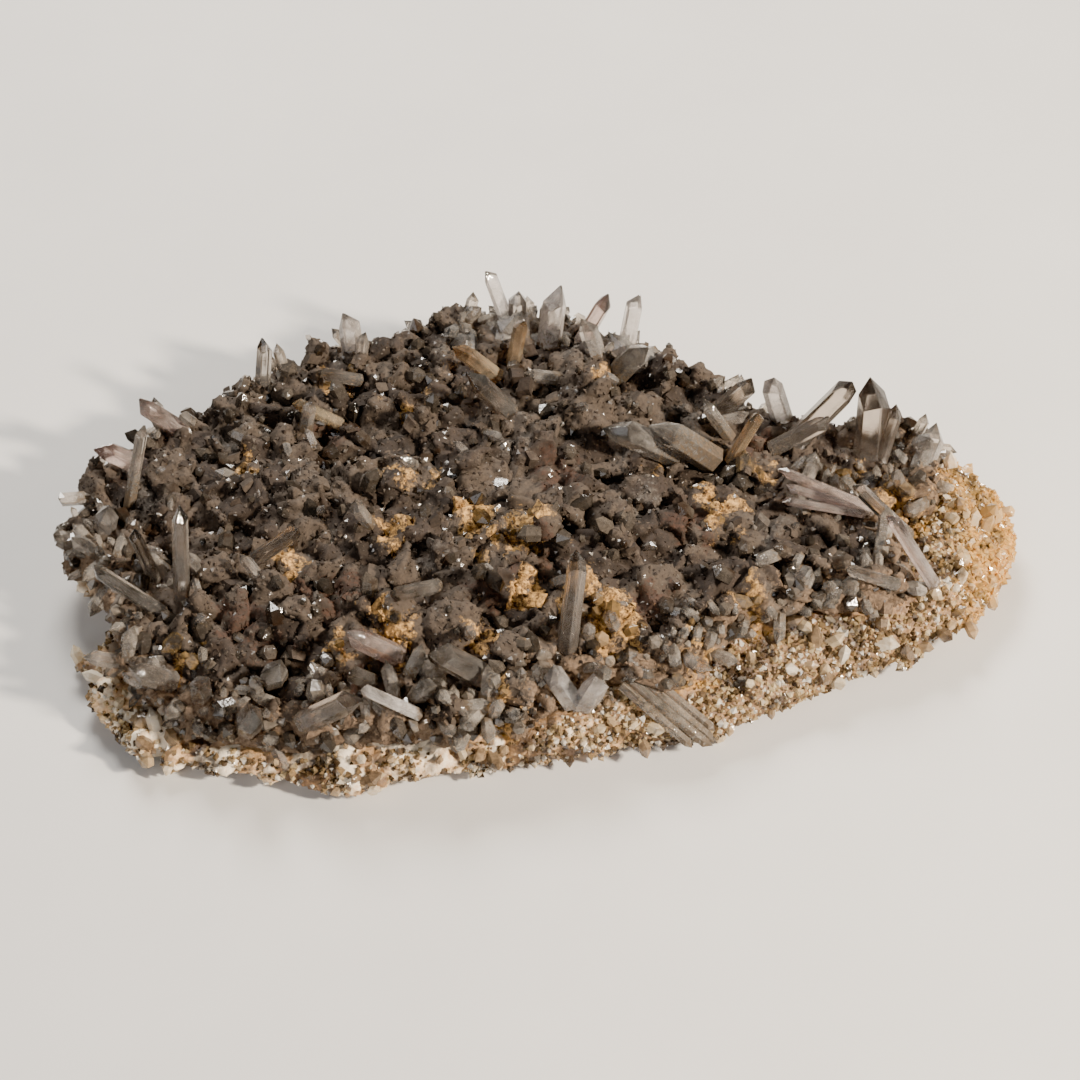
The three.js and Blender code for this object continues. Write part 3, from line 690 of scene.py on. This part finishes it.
def add_lumps(mesh, count, smallest, largest, allowed, rng):
    """Adds lumps to a mesh, part sunk into its surface, where they're allowed and not crowded."""
    work = bmesh.new()
    work.from_mesh(mesh)
    centres, sizes = np.empty((0, 3)), np.empty(0)
    for spot, normal in zip(*surface_spots(mesh, count * 9, rng)):
        if len(sizes) >= count:
            break
        radius = smallest + (largest - smallest) * rng.uniform() ** 1.5
        centre = spot - normal * radius * rng.uniform(0.15, 0.6)
        crowded = (np.linalg.norm(centres - centre, axis=1) < 0.8 * (sizes + radius)).any()
        if crowded or not allowed(spot, normal, centre, radius):
            continue
        centres, sizes = np.vstack([centres, centre]), np.append(sizes, radius)
        lump_into(work, Vector(centre), radius, rng)
    work.to_mesh(mesh)
    work.free()


def length_choice(name, description, size_mm):
    """A length that a user may change, with its default in millimetres."""
    return bpy.props.FloatProperty(name=name, description=description, default=size_mm * MM, unit="LENGTH")


def colour_choice(name, description, code):
    """A colour that a user may change, with its default as a hex code."""
    return bpy.props.FloatVectorProperty(
        name=name, description=description, default=rgb(code), subtype="COLOR", size=4, min=0.0, max=1.0)


class SpecimenSizes(bpy.types.PropertyGroup):
    """Sizes and numbers of the specimen's fine forms."""

    crust_skin: length_choice("Crust skin", "Size of the crust skin's faces", 0.7)
    slab_skin: length_choice("Slab skin", "Size of the slab skin's faces", 0.8)
    lump_count: bpy.props.IntProperty(
        name="Lumps", description="Lumps added between the crust's large ones", default=300)
    rock_lump_count: bpy.props.IntProperty(
        name="Rock lumps", description="Lumps added to the bare parts of the slab", default=300)
    lump_smallest: length_choice("Smallest lump", "Radius of the smallest added lump", 1.7)
    lump_largest: length_choice("Largest lump", "Radius of the largest added lump", 4.2)
    rhomb_smallest: length_choice("Smallest rhomb", "Length of the smallest saddle rhomb", 1.6)
    rhomb_largest: length_choice("Largest rhomb", "Length of the largest saddle rhomb", 3.8)
    grain_smallest: length_choice("Smallest grain", "Length of the smallest grain on the crust", 0.7)
    grain_largest: length_choice("Largest grain", "Length of the largest grain on the crust", 1.5)
    grain_spacing: length_choice("Grain spacing", "Least distance between the crust's grains", 0.82)
    druse_reach: length_choice(
        "Druse reach", "How far pale grains spread from the bare rock onto the crust", 17)
    druse_spacing: length_choice("Druse spacing", "Least distance between the slab's sugary grains", 0.62)
    seed: bpy.props.IntProperty(name="Seed", description="Start of every random choice", default=3)


class SpecimenColours(bpy.types.PropertyGroup):
    """Colours of the specimen's stains and clear crystals."""

    ochre: colour_choice("Ochre", "Limonite powder in the crust's hollows", "#eebc74")
    rust: colour_choice("Rust", "Rusty lumps of the crust", "#4f3527")
    grey_film: colour_choice("Grey film", "Grey lumps of the crust", "#645c54")
    golden: colour_choice("Golden stain", "Iron stain on the quartz rock", "#e2aa58")
    smoke: colour_choice("Smoke", "What thick parts of the clear crystals let through", "#bfa890")


class MESH_OT_oxide_crust(bpy.types.Operator):
    """Builds the lumpy oxide crust and the small rhombs that cover it"""

    bl_idname = "mesh.specimen_oxide_crust"
    bl_label = "Oxide crust"

    def execute(self, context):
        sizes = context.scene.specimen
        rng = np.random.default_rng(sizes.seed)
        mesh = merged_copy(CRUST_NODE, "oxide_crust")

        def allowed(spot, normal, centre, radius):
            open_side = normal[2] > -0.35 and spot[2] > 6 * MM
            return open_side and clearance([centre])[0] > 0.95 * radius

        add_lumps(mesh, sizes.lump_count, sizes.lump_smallest, sizes.lump_largest, allowed, rng)
        crust = voxel_skin(link("oxide_crust", mesh), sizes.crust_skin)
        mesh = crust.data
        points, normals = coordinates(mesh), vertex_normals(mesh)
        large, own = cell_relief(points, 7.0, 51)
        small, _ = cell_relief(points, 2.6, 52)
        swell_mm = 1.9 * (large - 1) + 1.3 * (own - 0.55) + 0.5 * (small - 0.7)
        swell_mm += 0.25 * sine_field(points, 2.0, 22)
        top = np.clip(normals[:, 2] + 0.9, 0, 1)
        set_coordinates(mesh, points + normals * (swell_mm * top * MM)[:, None])
        keep_in_box(mesh)
        points = coordinates(mesh)
        set_attribute(mesh, "stain", stain_values(points))
        set_attribute(mesh, "tone", own)
        # A mask of painted shade: 1 on the lumps and 0 in the creases between them, where the material
        # darkens the colour.
        set_attribute(mesh, "crease", np.minimum(large, 0.7 + small))
        set_attribute(mesh, "glint", np.zeros(len(points)))
        facing_down = normals[:, 2] < -0.75
        hidden = facing_down | (points[:, 2] < 1.5 * MM) | (clearance(points) < 0.4 * MM)
        set_attribute(mesh, "cover", np.where(hidden, 0.0, 1.0))
        grains = scattered(
            "crust_grains", crust, nugget_mesh(), oxide_material("earthy_goethite_grains", 0.7, 0.13),
            {"Spacing": sizes.grain_spacing, "Smallest": sizes.grain_smallest, "Largest": sizes.grain_largest,
             "Sink": 0.2 * MM, "Tilt": math.pi, "Density": 2400000.0, "Seed": sizes.seed + 1},
        )
        set_attribute(mesh, "cover", np.where(hidden, 0.0, 0.35))
        rhombs = scattered(
            "saddle_rhombs", crust, rhomb_mesh(), oxide_material("earthy_goethite_rhombs", 0.8, 0.03),
            {"Spacing": 3.2 * MM, "Smallest": sizes.rhomb_smallest, "Largest": sizes.rhomb_largest,
             "Sink": 0.7 * MM, "Tilt": math.pi, "Density": 80000.0, "Seed": sizes.seed + 7},
        )
        keep_in_box(grains.data)
        keep_in_box(rhombs.data)
        mesh.materials.clear()
        mesh.materials.append(oxide_material("earthy_goethite_crust", 0.9, 0.0))
        for piece in (crust, grains, rhombs):
            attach(piece, "root")
        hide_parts(CRUST_NODE)
        return {"FINISHED"}


class MESH_OT_rock_slab(bpy.types.Operator):
    """Builds the sugary quartz rock and the pale druse on its bare parts"""

    bl_idname = "mesh.specimen_rock_slab"
    bl_label = "Rock slab and druse"

    def execute(self, context):
        sizes = context.scene.specimen
        crust = tree_of([CRUST_NODE])
        mesh = merged_copy(SLAB_NODE, "quartz_rock")

        def allowed(spot, normal, centre, radius):
            if spot[0] > 15 * MM and radius > 1.9 * MM:
                return False
            bare = crust.ray_cast(Vector(spot), UP)[0] is None
            return bare and normal[2] > -0.2 and spot[2] > 1.8 * MM and centre[2] > radius

        rng = np.random.default_rng(sizes.seed + 9)
        add_lumps(mesh, sizes.rock_lump_count, 1.2 * MM, 3.6 * MM, allowed, rng)
        slab = voxel_skin(link("quartz_rock", mesh), sizes.slab_skin)
        mesh = slab.data
        points, normals = coordinates(mesh), vertex_normals(mesh)
        coarse = 1 - np.clip((points[:, 0] / MM + 10) / 40, 0, 1)
        blocks, raised = cell_relief(points, 4.5, 31)
        beads, _ = cell_relief(points, 1.8, 32)
        blocky_share = np.maximum(coarse, np.clip(0.6 - normals[:, 2], 0, 1))
        rough_mm = blocky_share * (1.1 * (blocks - 0.8) + 0.8 * (raised - 0.5)) + 0.4 * (beads - 0.7)
        side = np.clip((points[:, 2] - 0.4 * MM) / (2.5 * MM), 0, 1)
        set_coordinates(mesh, points + normals * (rough_mm * side * MM)[:, None])
        keep_in_box(mesh)
        points = coordinates(mesh)
        set_attribute(mesh, "stain", stain_values(points))
        set_attribute(mesh, "tone", 0.1 + coarse * (raised - 0.1))
        # A mask of painted shade for the creases between the slab's blocks and beads, lowest where the
        # material darkens the colour.
        set_attribute(mesh, "crease", np.minimum(np.maximum(blocks, 1 - coarse), 0.3 + beads))
        open_above = np.array([crust.ray_cast(Vector(p), UP)[0] is None for p in points])
        rays = zip(map(Vector, points), map(Vector, normals))
        open_aside = np.array([crust.ray_cast(place, way)[0] is None for place, way in rays])
        side_on = normals[:, 2] < 0.35
        grown = (normals[:, 2] > -0.8) & (points[:, 2] > 0.9 * MM)
        bare = (open_above | (open_aside & side_on)) & grown
        fine = np.clip(0.5 + 0.5 * sine_field(points, 9, 33) + (1 - coarse), 0.2, 1)
        set_attribute(mesh, "cover", np.where(bare, fine, 0.0))
        sugar = scattered(
            "rock_sugar", slab, nugget_mesh(),
            grain_material(
                "sugary_quartz", ("#3f3124", "#7e684d", "#b5996f", "#e4cc9f", "#fffaf0"), 0.52, 0.85),
            {"Spacing": sizes.druse_spacing, "Smallest": 0.8 * MM, "Largest": 2.1 * MM, "Sink": 0.0,
             "Tilt": math.pi, "Density": 5000000.0, "Seed": sizes.seed + 2},
        )
        blocky = np.clip(0.45 + 0.4 * sine_field(points, 12, 34), 0, 1)
        set_attribute(mesh, "cover", np.where(bare, blocky, 0.0))
        stubs = scattered(
            "rock_druse", slab, quartz_point_mesh(0.6, 0.4),
            grain_material(
                "milky_quartz_druse", ("#75614c", "#a58d70", "#ccb18c", "#ead6b4", "#fcf2e0"), 0.55, 0.5),
            {"Spacing": 1.7 * MM, "Smallest": 1.6 * MM, "Largest": 4.8 * MM, "Sink": 0.8 * MM,
             "Tilt": 0.9, "Density": 400000.0, "Seed": sizes.seed + 5},
        )
        keep_in_box(sugar.data)
        keep_in_box(stubs.data)
        mesh.materials.clear()
        mesh.materials.append(rock_material())
        for piece in (slab, sugar, stubs):
            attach(piece, "root")
        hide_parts(SLAB_NODE)
        return {"FINISHED"}


class MESH_OT_crust_druse(bpy.types.Operator):
    """Stands pale grains and small quartz points on the crust, most of them near the bare rock"""

    bl_idname = "mesh.specimen_crust_druse"
    bl_label = "Druse and small points on the crust"

    def execute(self, context):
        sizes = context.scene.specimen
        crust = bpy.data.objects["oxide_crust"]
        mesh = crust.data
        points, normals = coordinates(mesh), vertex_normals(mesh)
        free = clearance(points) > 1.2 * MM
        seen = (normals[:, 2] > 0.0) & (points[:, 2] > 4 * MM) & free
        edge = edge_share(points)
        patches = np.clip(sine_field(points, 16, 41) + 0.4, 0, 1)
        set_attribute(mesh, "cover", np.where(seen, 0.14 + 0.12 * patches + 0.74 * edge**0.8, 0.0))
        grains = scattered(
            "crust_druse", crust, quartz_point_mesh(0.75, 0.4),
            grain_material(
                "dusty_quartz_druse", ("#332e29", "#4e4740", "#6d645a", "#988d80", "#ddd4ca"), 0.52, 0.3),
            {"Spacing": 1.8 * MM, "Smallest": 1.8 * MM, "Largest": 4.6 * MM, "Sink": 0.8 * MM,
             "Tilt": 0.9, "Density": 330000.0, "Seed": sizes.seed + 3},
        )
        centres = coordinates(grains.data).reshape(-1, POINT_VERTICES, 3).mean(axis=1)
        paleness = np.random.default_rng(sizes.seed).uniform(0, 1, len(centres))
        paleness *= 0.5 + 0.5 * edge_share(centres)
        set_attribute(grains.data, "glint", np.repeat(paleness, POINT_VERTICES))
        back = np.clip((points[:, 1] / MM - 30) / 20, 0, 1) + np.clip((-60 - points[:, 0] / MM) / 20, 0, 1)
        share = np.clip(0.1 + 0.7 * edge + 0.5 * back + 0.3 * patches, 0, 1)
        set_attribute(mesh, "cover", np.where(seen, share, 0.0))
        small = scattered(
            "small_quartz_points", crust, quartz_point_mesh(0.36, 0.28),
            quartz_material("small_rock_crystal", "#f1eae2", "#bea890", "#b7a795", 0.36, 0.16, 0.8),
            {"Spacing": 4.2 * MM, "Smallest": 3.4 * MM, "Largest": 8.5 * MM, "Sink": 1.0 * MM,
             "Tilt": 0.95, "Density": 50000.0, "Seed": sizes.seed + 4},
        )
        grown = (points[:, 2] > 3 * MM) & (normals[:, 2] > -0.3) & free
        set_attribute(mesh, "cover", np.where(grown, near_any(points, QUARTZ_CROWDS) ** 0.5, 0.0))
        crowded = scattered(
            "crowded_quartz_points", crust, quartz_point_mesh(0.44, 0.32),
            quartz_material("crowded_rock_crystal", "#f0e8dd", "#bca78f", "#ab9b88", 0.43, 0.16, 0.7),
            {"Spacing": 1.9 * MM, "Smallest": 2.8 * MM, "Largest": 7.0 * MM, "Sink": 0.9 * MM,
             "Tilt": 0.8, "Density": 400000.0, "Seed": sizes.seed + 6},
        )
        on_top = (points[:, 2] > 6 * MM) & (normals[:, 2] > 0.1) & free
        set_attribute(mesh, "cover", np.where(on_top, near_any(points, RIDGE_CROWDS) ** 0.4, 0.0))
        ridge_points = scattered(
            "ridge_quartz_points", crust, quartz_point_mesh(0.46, 0.34),
            quartz_material("ridge_rock_crystal", "#f4efe9", "#cbbdae", "#c3b7aa", 0.35, 0.1, 0.5),
            {"Spacing": 3.0 * MM, "Smallest": 5.0 * MM, "Largest": 10.5 * MM, "Sink": 1.4 * MM,
             "Tilt": 0.5, "Density": 180000.0, "Seed": sizes.seed + 8},
        )
        for point_mesh in (small.data, crowded.data, ridge_points.data):
            count = len(point_mesh.vertices) // POINT_VERTICES
            set_attribute(point_mesh, "along", np.tile(POINT_SHARES, count))
            set_attribute(point_mesh, "length", coordinates(point_mesh)[:, 2])
        for piece, slot in (
            (grains, "pale_quartz_rock"),
            (small, "clear_quartz"),
            (crowded, "clear_quartz"),
            (ridge_points, "clear_quartz"),
        ):
            keep_in_box(piece.data)
            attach(piece, "root")
        mesh.attributes.remove(mesh.attributes["cover"])
        return {"FINISHED"}


class MESH_OT_quartz_crystals(bpy.types.Operator):
    """Gives every large quartz crystal worn edges, growth lines and its own clearness"""

    bl_idname = "mesh.specimen_quartz_crystals"
    bl_label = "Quartz crystals"

    def execute(self, context):
        smoke = context.scene.specimen_colours.smoke
        finishes = {
            "clear": quartz_material("clear_rock_crystal", "#f6f0e8", smoke, "#b6a591", 0.1, 0.04, 0.45),
            "milky": quartz_material("milky_quartz", "#f8f4f1", "#e4dcd4", "#eee4da", 0.45, 0.08, 0.5),
            "amber": quartz_material("iron_tinted_quartz", "#f7e6c8", "#d9a866", "#e6c592", 0.26, 0.05, 0.45),
            "pink": quartz_material("pinkish_quartz", "#f4e6df", "#d3b0a0", "#d3bbae", 0.3, 0.06, 0.5),
            "tan": quartz_material("striped_quartz", "#eee2d2", "#c8ac88", "#a9927a", 0.4, 0.14, 0.9),
            "coated": quartz_material("dust_coated_quartz", "#e1dad1", "#a79684", "#75695b", 0.35, 0.16, 1.0),
        }
        kinds = {
            "milky": ("white", "bright", "milky_back", "milky_cluster"),
            "amber": ("amber",),
            "pink": ("pink", "pale", "rim", "milky_front", "edge", "fan"),
            "tan": ("bundle",),
            "coated": ("coated", "grey", "brown", "striped", "block_back"),
        }
        for name in QUARTZ_NODES:
            kind = next((k for k, words in kinds.items() if any(w in name for w in words)), "clear")
            mesh = merged_copy(name, name + "_faces")
            work = bmesh.new()
            work.from_mesh(mesh)
            bmesh.ops.dissolve_limit(work, angle_limit=math.radians(1), verts=work.verts, edges=work.edges)
            bmesh.ops.bevel(
                work, geom=work.edges, offset=0.13 * MM, segments=1, affect="EDGES", clamp_overlap=True)
            bmesh.ops.triangulate(work, faces=work.faces)
            bmesh.ops.recalc_face_normals(work, faces=work.faces)
            work.to_mesh(mesh)
            work.free()
            points = coordinates(mesh)
            middle = points.mean(axis=0)
            axis = np.linalg.svd(points - middle, full_matrices=False)[2][0]
            axis *= np.sign(axis[2]) or 1
            along = (points - middle) @ axis
            along -= along.min()
            set_attribute(mesh, "length", along)
            set_attribute(mesh, "along", along / along.max())
            mesh.materials.clear()
            mesh.materials.append(finishes[kind])
            piece = link(name + "_faces", mesh)
            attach(piece, "root")
            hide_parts(name)
        return {"FINISHED"}


class SCENE_OT_specimen_stage(bpy.types.Operator):
    """Sets the pale floor, the soft studio lights and the camera"""

    bl_idname = "scene.specimen_stage"
    bl_label = "Stage"

    def execute(self, context):
        scene = context.scene
        mesh = bpy.data.meshes.new("studio_floor")
        half = 2.5
        corners = [(-half, -half, 0), (half, -half, 0), (half, half, 0), (-half, half, 0)]
        mesh.from_pydata(corners, [], [(0, 1, 2, 3)])
        mesh.materials.append(paper_material())
        floor = link("studio_floor", mesh)

        world = bpy.data.worlds.new("soft_studio")
        world.use_nodes = True
        background = world.node_tree.nodes["Background"].inputs
        background["Color"].default_value = rgb("#e6e6e6")
        background["Strength"].default_value = 0.12
        scene.world = world
        lamps = (
            ("key_from_the_right", (0.6, -0.28, 0.44), 0.07, 27.0, "#fff0dc"),
            ("fill_from_the_front", (-0.35, -0.6, 0.5), 0.6, 5.0, "#f4f4f6"),
            ("softbox_behind", (-0.12, 0.5, 0.6), 0.3, 15.0, "#fffaf2"),
        )
        target = Vector((0, 0, 12 * MM))
        for name, place, size, power, colour in lamps:
            light = bpy.data.lights.new(name, "AREA")
            light.size = size
            light.energy = power
            light.color = rgb(colour)[:3]
            lamp = bpy.data.objects.new(name, light)
            lamp.location = place
            lamp.rotation_euler = (target - Vector(place)).to_track_quat("-Z", "Y").to_euler()
            scene.collection.objects.link(lamp)

        camera_data = bpy.data.cameras.new("camera")
        camera_data.lens = 85
        camera_data.sensor_width = 36
        camera = bpy.data.objects.new("camera", camera_data)
        elevation = math.radians(48)
        distance = 474.7 * MM
        aim = Vector((-0.07, -4.21, 14)) * MM
        camera.location = aim + distance * Vector((0, -math.cos(elevation), math.sin(elevation)))
        camera.rotation_euler = (math.pi / 2 - elevation, 0, 0)
        scene.collection.objects.link(camera)
        scene.camera = camera
        scene.view_settings.look = "AgX - Punchy"
        return {"FINISHED"}


class VIEW3D_PT_specimen(bpy.types.Panel):
    """Lists the specimen's pieces, sizes and colours"""

    bl_label = "Specimen"
    bl_idname = "VIEW3D_PT_specimen"
    bl_space_type = "VIEW_3D"
    bl_region_type = "UI"
    bl_category = "Specimen"

    def draw(self, context):
        column = self.layout.column()
        for operator in OPERATORS:
            column.operator(operator.bl_idname)
        for name in SpecimenSizes.__annotations__:
            column.prop(context.scene.specimen, name)
        for name in SpecimenColours.__annotations__:
            column.prop(context.scene.specimen_colours, name)


OPERATORS = (
    MESH_OT_oxide_crust,
    MESH_OT_rock_slab,
    MESH_OT_crust_druse,
    MESH_OT_quartz_crystals,
    SCENE_OT_specimen_stage,
)
CLASSES = (SpecimenSizes, SpecimenColours, *OPERATORS, VIEW3D_PT_specimen)


def register():
    for kind in CLASSES:
        bpy.utils.register_class(kind)
    bpy.types.Scene.specimen = bpy.props.PointerProperty(type=SpecimenSizes)
    bpy.types.Scene.specimen_colours = bpy.props.PointerProperty(type=SpecimenColours)


def unregister():
    del bpy.types.Scene.specimen
    del bpy.types.Scene.specimen_colours
    for kind in reversed(CLASSES):
        bpy.utils.unregister_class(kind)


def main():
    register()
    bpy.ops.mesh.specimen_oxide_crust()
    bpy.ops.mesh.specimen_rock_slab()
    bpy.ops.mesh.specimen_crust_druse()
    bpy.ops.mesh.specimen_quartz_crystals()
    bpy.ops.scene.specimen_stage()


if __name__ == "__main__":
    main()
